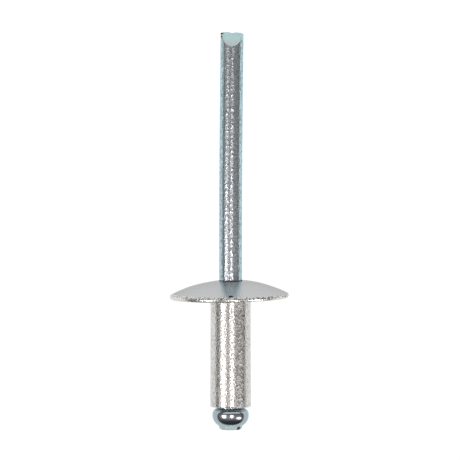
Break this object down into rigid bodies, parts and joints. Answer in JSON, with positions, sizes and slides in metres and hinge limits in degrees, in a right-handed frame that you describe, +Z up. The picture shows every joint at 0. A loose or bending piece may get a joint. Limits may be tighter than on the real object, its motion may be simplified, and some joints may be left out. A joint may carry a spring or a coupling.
{
  "type": "flange head rivet",
  "caption": "Blind rivet, unset and lying down: tubular aluminium body with a large domed flange, on a zinc-plated steel mandrel with a bulbed head and a pinched tip.",
  "frame": {"origin": "on the surface that the rivet lies on, below the middle of its length", "axes": "+X along the resting rivet, towards the mandrel's tip; +Y across it; +Z up"},
  "size_m": [0.0462, 0.014, 0.0138],
  "materials": {
    "body_aluminium": "bright cold-formed aluminium alloy",
    "mandrel_steel": "bright zinc plate with a bluish passivation"
  },
  "bodies": {
    "root": {"rivet_body": "body_aluminium", "mandrel": "mandrel_steel"}
  },
  "joints": []
}
